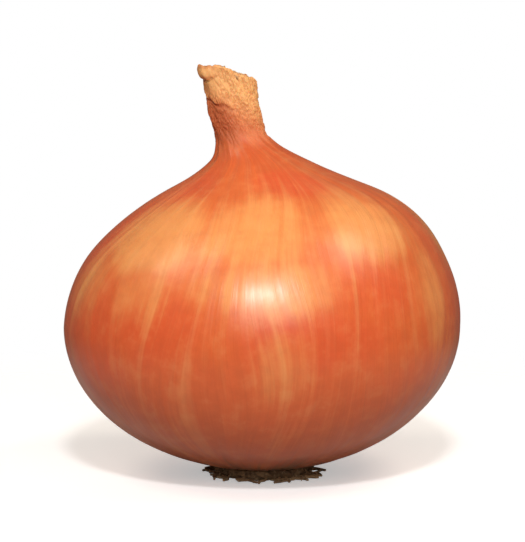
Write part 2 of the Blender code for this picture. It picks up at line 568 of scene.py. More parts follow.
@dataclass(frozen=True)
class DrySheathFinish(Finish):
    """The dried leaf sheaths inside the cut neck: thin, brittle and straw coloured."""

    straw: Colour = (0.66, 0.330, 0.130)
    brown: Colour = (0.27, 0.095, 0.035)
    edge: Colour = (0.80, 0.520, 0.270)
    roughness: float = 0.72

    def make(self, effects: Effects) -> bpy.types.Material:
        """Builds the material.

        Args:
            effects: The shared node groups.

        Returns:
            The finished material.
        """
        material, wiring, shader = self.start("dry_sheath")
        grain = wiring.attribute("grain").outputs["Vector"]
        height = wiring.node("ShaderNodeSeparateXYZ", {0: grain}).outputs[2]
        fibres = self.place_group(
            wiring, effects.fibres, grain=grain, around=16.0, along=2.0, vein_width=0.08
        )
        colour = wiring.mix(fibres["Streaks"], self.brown, self.straw)
        colour = wiring.mix(wiring.math("MULTIPLY", fibres["Veins"], 0.5), colour, self.brown)
        colour = wiring.mix(wiring.remap(height, 0.75, 1.0, 0.0, 0.6), colour, self.edge)
        wiring.feed(shader.inputs["Base Color"], colour)
        wiring.feed(
            shader.inputs["Roughness"],
            wiring.math("MULTIPLY_ADD", fibres["Streaks"], 0.12, self.roughness - 0.06),
        )
        bump = wiring.node(
            "ShaderNodeBump", {"Height": fibres["Height"], "Strength": 0.6, "Distance": 0.15 * MM}
        )
        wiring.feed(shader.inputs["Normal"], bump.outputs[0])
        return material


@dataclass(frozen=True)
class RootCorkFinish(Finish):
    """The root plate: dull cork, dark in its pits, with paler crumbs."""

    cork: Colour = (0.46, 0.280, 0.145)
    pit: Colour = (0.15, 0.080, 0.040)
    crumb: Colour = (0.70, 0.510, 0.310)
    roughness: float = 0.92

    def make(self, effects: Effects) -> bpy.types.Material:
        """Builds the material.

        Args:
            effects: The shared node groups.

        Returns:
            The finished material.
        """
        material, wiring, shader = self.start("root_cork")
        place = wiring.node("ShaderNodeTexCoord").outputs["Object"]
        coarse = self.place_group(
            wiring, effects.mottle, place=place, blotch_size=0.0022, speck_size=0.0016, specks_shown=0.5
        )
        crust = wiring.noise(place, 1400.0, detail=5.0, roughness=0.7)
        colour = wiring.mix(coarse["Blotches"], self.pit, self.cork)
        colour = wiring.mix(wiring.remap(crust, 0.52, 0.72, 0.0, 0.8), colour, self.crumb)
        colour = wiring.mix(wiring.math("MULTIPLY", coarse["Specks"], 0.8), colour, self.pit)
        wiring.feed(shader.inputs["Base Color"], colour)
        wiring.feed(
            shader.inputs["Roughness"], wiring.math("MULTIPLY_ADD", crust, -0.15, self.roughness)
        )
        bump = wiring.node("ShaderNodeBump", {"Height": crust, "Strength": 0.8, "Distance": 0.3 * MM})
        wiring.feed(shader.inputs["Normal"], bump.outputs[0])
        return material


@dataclass(frozen=True)
class DriedRootFinish(Finish):
    """Dried roots: wiry brown threads, paler along their length in streaks."""

    dark: Colour = (0.26, 0.150, 0.078)
    brown: Colour = (0.56, 0.350, 0.185)
    tan: Colour = (0.82, 0.640, 0.410)
    roughness: float = 0.82

    def make(self, effects: Effects) -> bpy.types.Material:
        """Builds the material.

        Args:
            effects: The shared node groups.

        Returns:
            The finished material.
        """
        material, wiring, shader = self.start("dried_root")
        place = wiring.node("ShaderNodeTexCoord").outputs["Object"]
        spots = self.place_group(
            wiring, effects.mottle, place=place, blotch_size=0.0035, speck_size=0.0009, specks_shown=0.4
        )
        twist = wiring.noise(place, 900.0, detail=4.0, roughness=0.65)
        colour = wiring.mix(spots["Blotches"], self.dark, self.brown)
        colour = wiring.mix(wiring.remap(twist, 0.5, 0.72, 0.0, 0.75), colour, self.tan)
        colour = wiring.mix(wiring.math("MULTIPLY", spots["Specks"], 0.6), colour, self.dark)
        wiring.feed(shader.inputs["Base Color"], colour)
        wiring.feed(
            shader.inputs["Roughness"], wiring.math("MULTIPLY_ADD", twist, 0.15, self.roughness - 0.1)
        )
        bump = wiring.node("ShaderNodeBump", {"Height": twist, "Strength": 0.6, "Distance": 0.12 * MM})
        wiring.feed(shader.inputs["Normal"], bump.outputs[0])
        return material


# ---------------------------------------------------------------------------
# Helpers for meshes
# ---------------------------------------------------------------------------


def smooth_step(low: float, high: float, value: Any) -> Any:
    """0 below low, 1 above high, and an S-shaped rise between them."""
    share = np.clip((np.asarray(value, dtype=float) - low) / (high - low), 0.0, 1.0)
    return share * share * (3 - 2 * share)


def half_turn(angle: Any) -> Any:
    """An angle brought between minus and plus half a turn."""
    return (angle + math.pi) % (2 * math.pi) - math.pi


def new_piece(
    name: str, points: Any, faces: Sequence[Sequence[int]], material: bpy.types.Material
) -> bpy.types.Object:
    """Makes a smooth-shaded mesh object at the origin.

    Args:
        name: The piece's name.
        points: Its vertices' places.
        faces: Its faces, as rows of vertex numbers.
        material: Its finish.

    Returns:
        The object, linked to the scene.
    """
    mesh = bpy.data.meshes.new(name)
    mesh.from_pydata([tuple(point) for point in points], [], faces)
    mesh.shade_smooth()
    mesh.materials.append(material)
    made = bpy.data.objects.new(name, mesh)
    bpy.context.scene.collection.objects.link(made)
    return made


def write_attribute(piece: bpy.types.Object, name: str, values: Any) -> None:
    """Stores a number or a vector at each vertex of a piece.

    Args:
        piece: The mesh object.
        name: The attribute's name.
        values: One number per vertex, or one row of three.
    """
    values = np.asarray(values, dtype=np.float32)
    kind, slot = ("FLOAT_VECTOR", "vector") if values.ndim == 2 else ("FLOAT", "value")
    layer = piece.data.attributes.new(name, kind, "POINT")
    layer.data.foreach_set(slot, values.ravel())


def ring_faces(rows: int, columns: int) -> list[tuple[int, ...]]:
    """Faces between rings of vertices, with one more vertex closing each end.

    Args:
        rows: How many rings there are.
        columns: How many vertices each ring has.

    Returns:
        The faces. The closing vertices are numbered after the rings: first the first ring's.
    """
    faces: list[tuple[int, ...]] = []
    for row in range(rows - 1):
        low, high = row * columns, (row + 1) * columns
        for column in range(columns):
            after = (column + 1) % columns
            faces.append((low + column, low + after, high + after, high + column))
    first, last = rows * columns, rows * columns + 1
    end = (rows - 1) * columns
    for column in range(columns):
        after = (column + 1) % columns
        faces.append((first, after, column))
        faces.append((last, end + column, end + after))
    return faces


def apply_tree(piece: bpy.types.Object, tree: bpy.types.NodeTree, **inputs: Any) -> None:
    """Runs a Geometry Nodes tree on a piece and keeps the result as its plain mesh.

    Args:
        piece: The mesh object.
        tree: The Geometry Nodes tree.
        inputs: Values for the tree's named inputs, with underscores for spaces.
    """
    modifier = piece.modifiers.new("shape", "NODES")
    modifier.node_group = tree
    names = {item.name: item.identifier for item in tree.interface.items_tree if item.in_out == "INPUT"}
    for name, value in inputs.items():
        modifier[names[name.replace("_", " ").title()]] = value
    graph = bpy.context.evaluated_depsgraph_get()
    mesh = bpy.data.meshes.new_from_object(piece.evaluated_get(graph))
    old = piece.data
    piece.modifiers.remove(modifier)
    piece.data = mesh
    mesh.name = piece.name
    bpy.data.meshes.remove(old)


# ---------------------------------------------------------------------------
# How the onion grew
# ---------------------------------------------------------------------------


@dataclass
class Growth:
    """The law that gives the bulb's outside: a turned profile, grown slightly out of true.

    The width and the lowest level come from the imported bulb. The other sizes are those that it
    was made with.
    """

    radius: float
    underside: float
    equator: float = 32.5 * MM
    bowl_depth: float = 31.0 * MM
    shoulder_rise: float = 34.2 * MM
    shoulder_end: float = 30.0 * MM
    neck_radius: float = 5.5 * MM
    mouth_radius: float = 5.9 * MM
    neck_start: float = 42.0 * MM
    neck_top: float = 55.4 * MM
    neck_flatness: float = 0.86
    lobes: tuple[tuple[int, float], ...] = ((2, 0.006), (4, 0.004), (6, 0.0025))
    lean: tuple[tuple[float, float], ...] = (
        (32.5 * MM, 0.0),
        (46.5 * MM, 0.8 * MM),
        (60.0 * MM, 2.5 * MM),
        (67.3 * MM, -0.4 * MM),
        (71.2 * MM, -3.4 * MM),
        (74.5 * MM, -5.1 * MM),
        (80.0 * MM, -6.2 * MM),
        (88.0 * MM, -7.4 * MM),
    )

    @classmethod
    def of_packed_bulb(cls) -> "Growth":
        """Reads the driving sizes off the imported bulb."""
        low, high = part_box("bulb")
        return cls(radius=(high.x - low.x) / 2, underside=low.z)

    def lean_at(self, height: Any) -> Any:
        """The sideways shift of each level, on a smooth curve through the lean's knots.

        Args:
            height: Heights above the ground.

        Returns:
            The shift along X at each height.
        """
        knots = np.array(self.lean)
        at, shift = knots[:, 0], knots[:, 1]
        slopes = np.empty(len(at))
        slopes[1:-1] = (shift[2:] - shift[:-2]) / (at[2:] - at[:-2])
        slopes[0] = (shift[1] - shift[0]) / (at[1] - at[0])
        slopes[-1] = (shift[-1] - shift[-2]) / (at[-1] - at[-2])
        height = np.clip(height, at[0], at[-1])
        low = np.clip(np.searchsorted(at, height, side="right") - 1, 0, len(at) - 2)
        span = at[low + 1] - at[low]
        t = (height - at[low]) / span
        return (
            (2 * t**3 - 3 * t**2 + 1) * shift[low]
            + (t**3 - 2 * t**2 + t) * slopes[low] * span
            + (3 * t**2 - 2 * t**3) * shift[low + 1]
            + (t**3 - t**2) * slopes[low + 1] * span
        )

    def bowl(self, count: int) -> Any:
        """The lower half of the profile, from the underside to just below the equator.

        Args:
            count: How many points it has.

        Returns:
            Rows of radius and height.
        """
        lowest = -math.asin((self.equator - self.underside) / self.bowl_depth)
        angles = np.linspace(lowest, 0.0, count + 1)[:-1]
        return self._arc(angles, self.bowl_depth)

    def shoulder(self, count: int) -> Any:
        """The profile from the equator up to where the flare to the neck begins.

        Args:
            count: How many points it has.

        Returns:
            Rows of radius and height.
        """
        highest = math.asin(self.shoulder_end / self.shoulder_rise)
        angles = np.linspace(0.0, highest, count + 1)[:-1]
        return self._arc(angles, self.shoulder_rise)

    def _arc(self, angles: Any, rise: float) -> Any:
        """Rows of radius and height on an upright ellipse round the equator."""
        return np.stack([self.radius * np.cos(angles), self.equator + rise * np.sin(angles)], 1)

    def flare(self, count: int) -> Any:
        """The curve that turns the shoulder up into the neck.

        Args:
            count: How many points it has.

        Returns:
            Rows of radius and height.
        """
        share = self.shoulder_end / self.shoulder_rise
        inward = -self.radius / self.shoulder_rise * share / math.sqrt(1 - share**2)
        start = np.array([self.radius * math.sqrt(1 - share**2), self.equator + self.shoulder_end])
        end = np.array([self.neck_radius, self.equator + self.neck_start])
        climb = end[1] - start[1]
        leaving = start + np.array([inward, 1.0]) * climb * 0.30
        arriving = end - np.array([0.0, 1.0]) * climb * 0.38
        t = np.linspace(0.0, 1.0, count + 1)[:-1, None]
        left = 1 - t
        return left**3 * start + 3 * left**2 * t * leaving + 3 * left * t**2 * arriving + t**3 * end

    def neck(self, count: int) -> Any:
        """The profile of the dried neck, up to its mouth.

        Args:
            count: How many points it has.

        Returns:
            Rows of radius and height.
        """
        start = np.array([self.neck_radius, self.equator + self.neck_start])
        end = np.array([self.mouth_radius, self.equator + self.neck_top])
        return start + (end - start) * np.linspace(0.0, 1.0, count)[:, None]

    def place(self, radius: Any, height: Any, turn: Any) -> Any:
        """Puts points of the turned profile where the grown bulb has them.

        Args:
            radius: Distance of each point from the turned profile's axis.
            height: Height of each point above the ground.
            turn: Angle of each point round the axis.

        Returns:
            The points, as rows of X, Y and Z.
        """
        above = height - self.equator
        bodily = 1 - smooth_step(0.5, 1.0, above / self.neck_start)
        necked = smooth_step(self.shoulder_end, self.neck_start, above)
        swelling = 1 + bodily * sum(share * np.sin(lobes * turn) for lobes, share in self.lobes)
        depth = 1 + (self.neck_flatness - 1) * necked
        across = radius * np.cos(turn) * swelling + self.lean_at(height)
        return np.stack([across, radius * np.sin(turn) * swelling * depth, height], -1)


@dataclass(frozen=True)
class Patch:
    """A soft patch of another colour on the skin.

    Its middle is given by the angle from the front, positive towards +X, and the height in mm. It
    fades over its spread in degrees to either side and its rise in mm up and down.
    """

    facing: float
    height: float
    spread: float
    rise: float
    strength: float = 1.0
    falloff: float = 0.7
    edge: float = 1.3

    def shade(self, turn: Any, height: Any) -> Any:
        """How strongly the patch colours each place.

        Args:
            turn: Angle of each place round the axis.
            height: Height of each place.

        Returns:
            The strength at each place.
        """
        middle = math.radians(self.facing - 90.0)
        aside = half_turn(turn - middle) / math.radians(self.spread)
        above = (height / MM - self.height) / self.rise
        return self.strength * np.exp(-self.falloff * (aside**2 + above**2) ** self.edge)


# Amber patches: the skin's own amber tone, and painted highlight where the softboxes shine on the upper
# shoulders.
AMBER_AND_HIGHLIGHT_PATCHES = (
    Patch(-42, 53.5, 19, 6.6, 1.2),
    Patch(-8, 54.0, 24, 7.0, 0.95),
    Patch(38, 55.0, 20, 5.8),
    Patch(0, 44.5, 24, 6.0, 0.85),
    Patch(-62, 42.0, 9, 9.0, 0.55),
    Patch(-37, 42.0, 12, 6.0, 0.50),
    Patch(58, 42.0, 9, 11.0, 0.62),
    Patch(6, 28.0, 12, 9.0, 0.40),
    Patch(100, 52.0, 22, 8.0, 0.9),
    Patch(145, 55.0, 20, 8.0),
    Patch(178, 47.0, 16, 9.0, 0.8),
    Patch(-145, 54.0, 26, 8.0, 0.95),
    Patch(-105, 50.0, 16, 8.0, 0.7),
    Patch(120, 33.0, 12, 8.0, 0.5),
)
# Coral patches: the skin's own redder tone, and painted shade, such as on the -X shoulder and edge and in
# a ring round the neck's base.
CORAL_AND_SHADE_PATCHES = (
    Patch(14, 63.8, 24, 2.4, 1.0),
    Patch(30, 43.0, 20, 7.0, 0.75),
    Patch(14, 34.0, 24, 7.0, 0.95),
    Patch(-30, 36.0, 16, 8.0, 0.95),
    Patch(-60, 33.0, 18, 12.0, 1.0),
    Patch(-52, 62.0, 18, 5.0, 0.8),
    Patch(-72, 52.0, 14, 8.0, 0.8),
    Patch(72, 52.0, 12, 8.0, 0.7),
    Patch(82, 40.0, 20, 9.0, 0.8),
    Patch(115, 30.0, 26, 8.0, 0.8),
    Patch(160, 36.0, 22, 8.0, 0.9),
    Patch(-160, 34.0, 28, 9.0, 0.9),
    Patch(-112, 34.0, 18, 8.0, 0.8),
    Patch(-125, 63.0, 34, 3.0, 0.7),
    Patch(150, 63.5, 30, 2.6, 0.7),
)


def shade_of(patches: Iterable[Patch], turn: Any, height: Any) -> Any:
    """The strongest of several patches at each place."""
    return np.max([patch.shade(turn, height) for patch in patches], axis=0)


# ---------------------------------------------------------------------------
# The skin
# ---------------------------------------------------------------------------


@dataclass
class PaperySkin:
    """The bulb's papery skin, in one piece with the dried neck, its rolled rim and its mouth."""

    growth: Growth
    columns: int = 400
    bowl_rows: int = 60
    shoulder_rows: int = 58
    flare_rows: int = 30
    neck_rows: int = 62
    rim_rows: int = 6
    inner_rows: int = 14
    wall: float = 0.7 * MM
    mouth_depth: float = 3.4 * MM
    pucker_height: float = 0.07 * MM
    pucker_count: int = 17
    fold_height: float = 0.20 * MM
    fold_count: int = 7
    ear_turn: float = math.radians(206)
    ear_width: float = 0.66
    ear_middle: float = 86.7 * MM
    ear_rise: float = 1.45 * MM
    ear_reach: float = 1.05 * MM
    ear_lift: float = 0.6
    crease_height: float = 80.6 * MM
    crease_slant: float = 1.9 * MM
    crease_depth: float = 0.42 * MM
    crease_width: float = 0.42 * MM
    # The side of the neck that painted shade darkens.
    dark_side: float = math.radians(210)
    dry_levels: tuple[float, float] = (70.2 * MM, 73.3 * MM)
    rough_levels: tuple[float, float] = (70.6 * MM, 73.3 * MM)
    straw_and_lit_levels: tuple[float, float] = (74.5 * MM, 83.5 * MM)
    smooth_levels: tuple[float, float] = (80.0 * MM, 83.0 * MM)
    rim_levels: tuple[float, float] = (86.7 * MM, 87.8 * MM)
    cut_slope: float = 0.40
    cut_start: float = -1.6 * MM
    vein_height: float = 0.10 * MM
    vein_count: float = 30.0
    crinkle_height: float = 0.34 * MM
    crinkle_size: float = 0.95 * MM

    def profile(self) -> tuple[Any, Any]:
        """The outside's profile from the root plate to the rim, and the way along it.

        Returns:
            Rows of radius and height, and for each row its share of the whole length.
        """
        grown = self.growth
        rows = np.concatenate(
            [
                grown.bowl(self.bowl_rows),
                grown.shoulder(self.shoulder_rows),
                grown.flare(self.flare_rows),
                grown.neck(self.neck_rows),
            ]
        )
        steps = np.hypot(*np.diff(rows, axis=0).T)
        length = np.concatenate([[0.0], np.cumsum(steps)])
        return rows, length / length[-1]

    def relief(self, turn: Any, height: Any) -> Any:
        """How far the skin stands off the plain turned form: puckers below the neck, folds on it.

        Args:
            turn: Angle of each point round the axis.
            height: Height of each point.

        Returns:
            The offset away from the axis at each point.
        """
        above = height - self.growth.equator
        start = self.growth.neck_start
        gather = smooth_step(0.45 * start, 0.80 * start, above)
        gather = gather * (1 - smooth_step(0.95 * start, 1.06 * start, above))
        puckers = np.sin(self.pucker_count * turn + 1.6 * np.sin(2 * turn + 0.4))
        puckers += 0.5 * np.sin((self.pucker_count + 9) * turn + 1.1)
        on_neck = smooth_step(0.90 * start, 1.08 * start, above)
        twist = turn + 0.075 * (above - start) / MM
        folds = np.sin(self.fold_count * twist + 1.3 * np.sin(2 * twist))
        folds += 0.55 * np.sin(3 * turn + 2.0)
        ear = self.ear_side(turn)
        level = self.ear_level(turn, height)
        roll = np.sqrt(np.clip(1 - level**2, 0.0, 1.0))
        roll = 0.55 * roll + 0.45 * smooth_step(-2.4, 0.2, level)
        tuck = np.exp(-(((level + 1.12) / 0.30) ** 2))
        crease = np.exp(-(((height - self.crease(turn)) / self.crease_width) ** 2))
        return (
            self.pucker_height * gather * puckers
            + self.fold_height * on_neck * folds
            + self.ear_reach * ear * (roll - 0.22 * tuck)
            - self.crease_depth * crease * self.shaded_side(turn)
        )

    def ear_side(self, turn: Any) -> Any:
        """How far each place is on the side where the rim rolls outwards."""
        return np.exp(-((half_turn(turn - self.ear_turn) / self.ear_width) ** 4))

    def ear_level(self, turn: Any, height: Any) -> Any:
        """How far each place is above the middle of the rolled rim, over half the roll's height."""
        middle = self.ear_middle + self.ear_lift * self.ear_rise * (1 - self.ear_side(turn))
        return (height - middle) / self.ear_rise

    def shaded_side(self, turn: Any) -> Any:
        """How far each place is on the neck's darker side."""
        return np.exp(-(half_turn(turn - self.dark_side) ** 4))

    def crease(self, turn: Any) -> Any:
        """The height of the crease that runs slanting round the neck's darker side."""
        slant = self.crease_slant * np.sin(turn - math.radians(205))
        return self.crease_height - slant + 0.25 * MM * np.sin(9 * turn)

    def cut_drop(self, across: Any, turn: Any) -> Any:
        """How far the slanting, ragged cut lies below the highest tip.

        Args:
            across: Each point's place along X from the neck's own middle.
            turn: Angle of each point round the neck.

        Returns:
            The drop.
        """
        soft = 0.8 * MM
        slope = self.cut_slope * soft * np.logaddexp(0.0, (across - self.cut_start) / soft)
        ragged = 0.16 * np.sin(5 * turn + 0.8) + 0.12 * np.sin(11 * turn + 2.1)
        ragged = ragged + 0.07 * np.sin(23 * turn)
        return slope + (0.30 + ragged) * MM

    def surface(self) -> tuple[Any, Any, Any, Any]:
        """Every ring of the skin, from the root plate up, over the rim and down into the mouth.

        Returns:
            The points, the turn, the way along and how deep inside the cut each point is.
        """
        rows, along = self.profile()
        inner = np.linspace(0.0, 1.0, self.inner_rows)
        rim = np.linspace(0.0, math.pi, self.rim_rows + 2)[1:-1]
        outside = np.zeros(len(rows))
        throat = self.wall + 0.9 * MM * inner**2
        inset = np.concatenate([outside, self.wall * (1 - np.cos(rim)) / 2, throat])
        lift = np.concatenate([outside, self.wall / 2 * np.sin(rim), -self.mouth_depth * inner])
        cut = np.concatenate([outside, smooth_step(0.3, 2.6, rim), np.ones(len(inner))])
        top = np.tile(rows[-1], (len(rim) + len(inner), 1))
        rows = np.concatenate([rows, top])
        along = np.concatenate([along, np.ones(len(rim)), 1 + 0.1 * inner])

        turn = np.linspace(0.0, 2 * math.pi, self.columns, endpoint=False)
        turns = np.broadcast_to(turn, (len(rows), self.columns))
        radius = np.broadcast_to(rows[:, :1], turns.shape)
        height = np.broadcast_to(rows[:, 1:], turns.shape)
        radius = radius + self.relief(turns, height) - inset[:, None]
        points = self.growth.place(radius, height, turns)
        self._tilt_cut(points, height, turns)
        points[..., 2] += lift[:, None]
        along = np.broadcast_to(along[:, None], turns.shape)
        cut = np.broadcast_to(cut[:, None], turns.shape)
        return points, turns, along, cut

    def _tilt_cut(self, points: Any, height: Any, turns: Any) -> None:
        """Lowers the neck's upper rows on to the slanting cut.

        Args:
            points: The rings' points, which are changed.
            height: Height of each point before the cut.
            turns: Angle of each point.
        """
        grown = self.growth
        share = smooth_step(grown.neck_start * 0.96, grown.neck_top, height - grown.equator)
        across = points[..., 0] - grown.lean_at(height)
        points[..., 2] -= self.cut_drop(across, turns) * share

    def build(self, material: bpy.types.Material) -> bpy.types.Object:
        """Makes the skin as one closed mesh, with its grain and colour zones.

        Args:
            material: The skin's finish.

        Returns:
            The finished piece.
        """
        points, turns, along, cut = self.surface()
        first, last = points[0].mean(0), points[-1].mean(0) - np.array([0.0, 0.0, 0.3 * MM])
        places = np.concatenate([points.reshape(-1, 3), [first, last]])
        piece = new_piece("papery_skin", places, ring_faces(len(points), self.columns), material)
        self._write_grain(piece, turns, along, cut, places)
        apply_tree(
            piece,
            self._relief_tree(),
            vein_height=self.vein_height,
            vein_count=self.vein_count,
            crinkle_height=self.crinkle_height,
            crinkle_size=self.crinkle_size,
            finish=material,
        )
        return piece

    def _write_grain(self, piece: bpy.types.Object, turns: Any, along: Any, cut: Any, places: Any) -> None:
        """Stores the directions and zones that the relief and the finish read.

        Args:
            piece: The skin.
            turns: Angle of each ring point.
            along: The way up each ring point.
            cut: How far inside the cut each ring point is.
            places: All the vertices, the two closing ones last.
        """
        wander = 0.05 * np.sin(3 * turns + 9 * along) + 0.03 * np.sin(7 * turns - 14 * along + 1.0)
        turned = turns + wander * (1 - smooth_step(0.75, 0.9, along))
        grain = np.stack([np.cos(turned), np.sin(turned), along], -1).reshape(-1, 3)
        write_attribute(piece, "grain", np.concatenate([grain, [[0.0, 0.0, 0.0], [0.0, 0.0, 1.1]]]))

        height = places[:-2, 2].reshape(turns.shape)
        twist = turns + 0.045 * (height - self.growth.equator - self.growth.neck_start) / MM
        wrapped = np.stack([np.cos(twist), np.sin(twist), np.zeros_like(twist)], -1)
        wrapped *= self.growth.neck_radius
        wrapped[..., 2] = height * 0.60
        ends = [[0.0, 0.0, 0.0], [0.0, 0.0, 0.04]]
        write_attribute(piece, "crinkle", np.concatenate([wrapped.reshape(-1, 3), ends]))

        uneven = MM * (0.6 * np.sin(9 * turns) + 0.4 * np.sin(17 * turns) - 0.7 * np.cos(turns))
        smooth_side = self.ear_side(turns) * smooth_step(*self.smooth_levels, height)
        rough = smooth_step(*self.rough_levels, height + uneven)
        zones = {
            "dry": (smooth_step(*self.dry_levels, height + uneven), 1.0),
            # Straw up the neck, paler towards +X as painted light.
            "straw_and_lit": (smooth_step(*self.straw_and_lit_levels, height + 2.6 * MM * np.cos(turns)), 1.0),
            # Amber is partly painted highlight, coral partly painted shade.
            "amber_and_highlight": (shade_of(AMBER_AND_HIGHLIGHT_PATCHES, turns, height), 0.0),
            "coral_and_shade": (shade_of(CORAL_AND_SHADE_PATCHES, turns, height), 0.0),
            "cut": (cut, 1.0),
            # Painted shade on the neck's darker side and under its rolled rim.
            "russet_and_shade": (self._painted_neck_shade(turns, height), 0.0),
            "rough": (rough * (1 - 0.75 * smooth_side) * (1 - smooth_step(0.1, 0.6, cut)), 0.0),
        }
        for name, (shade, at_mouth) in zones.items():
            write_attribute(piece, name, np.append(shade.ravel(), [0.0, at_mouth]))

    def _painted_neck_shade(self, turns: Any, height: Any) -> Any:
        """Painted shade on the neck: its darker side below a slanting crease, a dark line along that
        crease, the shade under its rolled rim, and darker over the top of the roll.

        Args:
            turns: Angle of each point.
            height: Height of each point.

        Returns:
            How much painted shade each point has.
        """
        above = height - self.crease(turns)
        below = 1 - smooth_step(-0.5 * MM, 0.6 * MM, above)
        line = np.exp(-((above / (0.40 * MM)) ** 2))
        tuck = np.exp(-(((self.ear_level(turns, height) + 1.05) * self.ear_rise / (0.32 * MM)) ** 2))
        rim = smooth_step(*self.rim_levels, height)
        side = self.shaded_side(turns) * (0.80 * below + 0.5 * line)
        return np.clip(side + self.ear_side(turns) * (0.55 * tuck + 0.6 * rim), 0, 1)

    def _relief_tree(self) -> bpy.types.NodeTree:
        """The tree that raises veins over the whole skin and crinkles on the dried neck.

        Returns:
            The Geometry Nodes tree.
        """
        takes = {
            "Skin": GEOMETRY,
            "Vein Height": FLOAT,
            "Vein Count": FLOAT,
            "Crinkle Height": FLOAT,
            "Crinkle Size": FLOAT,
            "Finish": MATERIAL,
        }
        wiring, given, end = new_group("skin_relief", "GeometryNodeTree", takes, {"Skin": GEOMETRY})
        grain = wiring.read("grain", "FLOAT_VECTOR")
        cut = wiring.read("cut")
        counts = {0: given["Vein Count"], 1: given["Vein Count"], 2: 3.5}
        stretch = wiring.node("ShaderNodeCombineXYZ", counts).outputs[0]
        veins = wiring.noise(wiring.vector("MULTIPLY", grain, stretch), 1.0, detail=2.0)
        veins = wiring.math("MULTIPLY", wiring.math("SUBTRACT", veins, 0.5), 2.0)
        broad = wiring.noise(wiring.vector("MULTIPLY", grain, (4.2, 4.2, 3.0)), 1.0, detail=1.0)
        broad = wiring.math("MULTIPLY", wiring.math("SUBTRACT", broad, 0.5), 4.0)
        along = wiring.node("ShaderNodeSeparateXYZ", {0: grain}).outputs[2]
        calm = wiring.math("MULTIPLY", given["Vein Height"], wiring.remap(along, 0.66, 0.84, 1.0, 0.3))
        skin = wiring.math("MULTIPLY", wiring.math("ADD", veins, broad), calm)

        place = wiring.read("crinkle", "FLOAT_VECTOR")
        rough = wiring.read("rough")
        scale = wiring.math("DIVIDE", 1.0, given["Crinkle Size"])
        cells = wiring.noise(place, scale, detail=2.5, roughness=0.6)
        crease = wiring.ridge(cells, 0.10)
        coarser = wiring.noise(place, wiring.math("MULTIPLY", scale, 0.7), 1.0)
        swell = wiring.math("SUBTRACT", coarser, 0.5)
        crinkle = wiring.math("MULTIPLY_ADD", swell, 1.7, wiring.math("MULTIPLY", crease, -0.55))
        crinkle = wiring.math("MULTIPLY", crinkle, rough)
        crinkle = wiring.math("MULTIPLY", crinkle, given["Crinkle Height"])

        outside = wiring.math("SUBTRACT", 1.0, cut)
        total = wiring.math("MULTIPLY_ADD", skin, outside, crinkle)
        normal = wiring.node("GeometryNodeInputNormal").outputs[0]
        push = {0: normal, "Scale": total}
        offset = wiring.node("ShaderNodeVectorMath", push, operation="SCALE").outputs[0]
        moved = wiring.node("GeometryNodeSetPosition", {"Geometry": given["Skin"], "Offset": offset})
        # Where the crinkle's creases lie, for the painted shade in them.
        folds = wiring.math("MULTIPLY", crease, rough)
        kept = wiring.store(moved.outputs[0], "folds", folds)
        wiring.dress(kept, given["Finish"], end.inputs["Skin"])
        return wiring.tree


# ---------------------------------------------------------------------------
# Inside the cut neck
# ---------------------------------------------------------------------------


@dataclass
class NeckSheaths:
    """The dried leaf sheaths that show as crumpled rings inside the cut neck."""

    skin: PaperySkin
    shares: tuple[float, ...] = (0.76, 0.55, 0.33)
    rises: tuple[float, ...] = (-0.35 * MM, 0.15 * MM, -0.25 * MM)
    wall: float = 0.28 * MM
    columns: int = 144
    rows: int = 14

    def build(self, material: bpy.types.Material) -> list[bpy.types.Object]:
        """Makes each sheath as its own closed ring.

        Args:
            material: The sheaths' finish.

        Returns:
            The pieces, from the outermost in.
        """
        return [
            self._sheath(index, share, rise, material)
            for index, (share, rise) in enumerate(zip(self.shares, self.rises))
        ]

    def _sheath(
        self, index: int, share: float, rise: float, material: bpy.types.Material
    ) -> bpy.types.Object:
        """One crumpled ring.

        Args:
            index: Its number, which also sets how it is crumpled.
            share: Its radius over the mouth's.
            rise: How far its top stands above the cut.
            material: Its finish.

        Returns:
            The piece.
        """
        grown = self.skin.growth
        turn = np.linspace(0.0, 2 * math.pi, self.columns, endpoint=False)
        depth = np.linspace(1.0, 0.0, self.rows)
        around = np.concatenate([depth, depth[::-1]])
        side = np.concatenate([np.full(self.rows, 0.5), np.full(self.rows, -0.5)])
        turns, levels = np.meshgrid(turn, around)
        sides = np.meshgrid(turn, side)[1]
        waves = 0.16 * np.sin((4 + index) * turns + 1.7 * index + 0.9 * levels)
        waves += 0.09 * np.sin((9 + 2 * index) * turns + 2.3 * index - 1.4 * levels)
        waves += 0.04 * np.sin(19 * turns + index)
        waves = waves * (0.55 + 0.45 * (1 - levels))
        radius = grown.mouth_radius * share * (1 + waves) + sides * self.wall
        top = grown.equator + grown.neck_top
        height = np.full_like(radius, top)
        points = grown.place(radius, height, turns)
        across = points[..., 0] - grown.lean_at(height)
        ragged = 0.28 * np.sin(3 * turns + 2.1 * index) + 0.16 * np.sin(8 * turns + index)
        ragged += 0.1 * np.sin(21 * turns)
        points[..., 2] += rise - self.skin.cut_drop(across, turns) + ragged * MM * (1 - levels)
        points[..., 2] -= levels * (self.skin.mouth_depth + rise - 0.1 * MM)
        rings = len(around)
        faces = [face for face in ring_faces(rings, self.columns) if max(face) < rings * self.columns]
        last = (rings - 1) * self.columns
        for column in range(self.columns):
            after = (column + 1) % self.columns
            faces.append((last + column, last + after, after, column))
        piece = new_piece(f"neck_sheath_{index + 1}", points.reshape(-1, 3), faces, material)
        grain = np.stack([np.cos(turns), np.sin(turns), 1 - levels], -1)
        write_attribute(piece, "grain", grain.reshape(-1, 3))
        return piece


